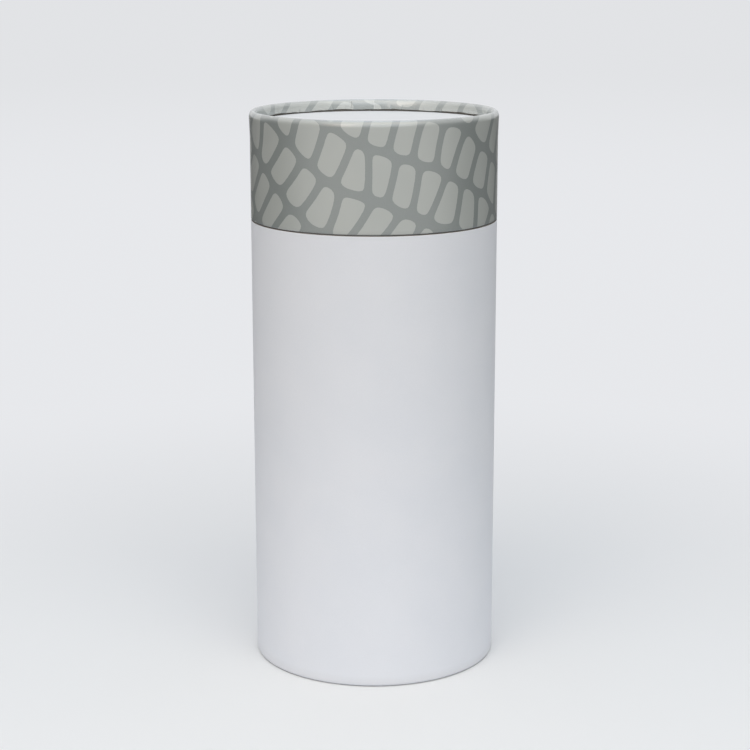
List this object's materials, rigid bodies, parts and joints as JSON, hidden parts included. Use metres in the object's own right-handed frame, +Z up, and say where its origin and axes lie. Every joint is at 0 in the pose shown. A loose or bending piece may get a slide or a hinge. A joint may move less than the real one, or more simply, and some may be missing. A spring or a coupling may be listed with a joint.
{
  "type": "gift tube box",
  "caption": "Cylindrical gift tube box of paper-covered rolled board, with a lift-off lid that slides down over an inner neck tube.",
  "frame": {"origin": "centre of the ring that the box stands on", "axes": "+Z up along the tube towards the lid, -Y the front as pictured, +Y the back where the wrap papers lap"},
  "size_m": [0.1106, 0.1108, 0.25],
  "materials": {
    "greyboard": "uncoated grey-brown board with fine plies",
    "printed_paper": "smooth matte printed paper, sage grey with a plain pattern of lighter rounded pebble shapes",
    "white_paper": "smooth uncoated white paper"
  },
  "bodies": {
    "box": {"body_shell": "greyboard", "body_wrap": "white_paper", "neck_tube": "greyboard", "neck_cover": "white_paper", "neck_lining": "white_paper", "base_disc": "greyboard", "base_facing": "white_paper", "base_lining": "white_paper"},
    "lid": {"lid_shell": "greyboard", "lid_wrap": "printed_paper", "lid_disc": "greyboard", "lid_disc_facing": "white_paper", "lid_ceiling": "white_paper", "lid_lining": "white_paper"}
  },
  "joints": [
    {"name": "lid_lift", "type": "slide", "parent": "box", "child": "lid", "axis": [0, 0, 1], "range_m": [0, 0.055]}
  ]
}
